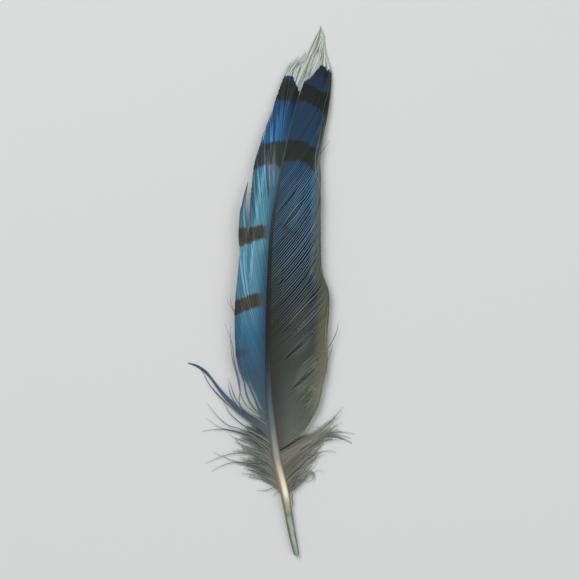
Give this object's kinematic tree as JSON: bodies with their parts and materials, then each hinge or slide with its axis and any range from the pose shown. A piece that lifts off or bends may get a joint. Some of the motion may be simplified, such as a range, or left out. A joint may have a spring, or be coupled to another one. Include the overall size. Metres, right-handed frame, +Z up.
{
  "type": "blue jay feather",
  "caption": "Shed tail feather of a blue jay, lying blue side up: barred blue outer vane, wider grey-blue inner vane, white tip, loose down above the bare quill.",
  "frame": {"origin": "on the surface that the feather lies on, under the centre of its bounding box", "axes": "+Y from the quill's end towards the white tip, +X from the narrow outer vane towards the wide inner vane, +Z up, out of the blue upper side"},
  "size_m": [0.038, 0.12, 0.0041],
  "materials": {
    "feather": "satin"
  },
  "bodies": {
    "root": {"feather": "feather"}
  },
  "joints": []
}
